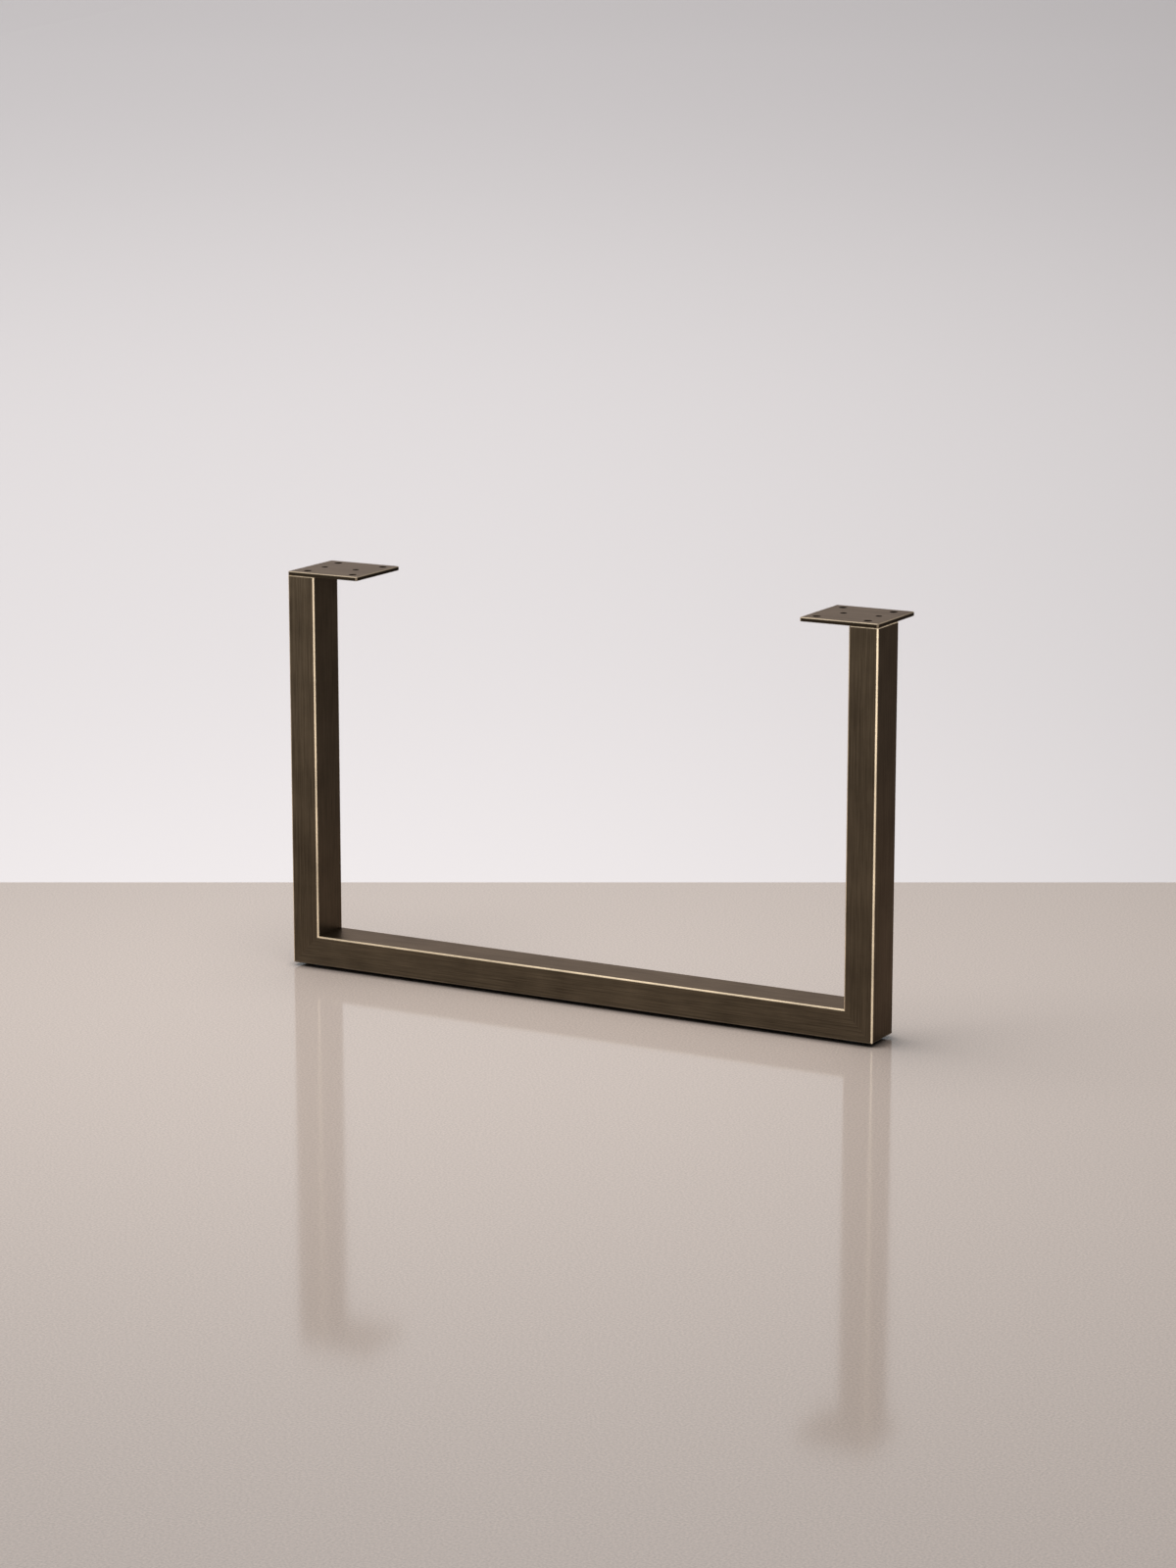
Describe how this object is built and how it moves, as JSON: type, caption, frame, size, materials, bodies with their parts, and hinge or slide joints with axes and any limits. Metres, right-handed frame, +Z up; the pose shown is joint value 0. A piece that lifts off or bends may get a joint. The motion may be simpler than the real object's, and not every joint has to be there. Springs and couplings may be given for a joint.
{
  "type": "u shaped table leg",
  "caption": "U-shaped table leg of mitred rectangular steel tube in brushed antique bronze, with a drilled mounting plate on each upright and low glides under the foot rail.",
  "frame": {"origin": "on the floor, at the bottom centre of the leg's box: midway between the uprights and midway along the depth of the mounting plates", "axes": "+X along the foot rail, +Y from the front face of the tubes towards the back, where the plates overhang, +Z up to the table top"},
  "size_m": [0.64, 0.08, 0.4],
  "materials": {
    "tube_finish": "steel tube, antique bronze plated and brushed along its length, with pale worn edges",
    "plate_finish": "steel plate, antique bronze plated and brushed, with pale worn edges",
    "glide_plastic": "black moulded polyethylene, matt"
  },
  "bodies": {
    "root": {"foot_rail": "tube_finish", "left_upright": "tube_finish", "right_upright": "tube_finish", "left_mounting_plate": "plate_finish", "right_mounting_plate": "plate_finish", "left_glide": "glide_plastic", "right_glide": "glide_plastic"}
  },
  "joints": []
}
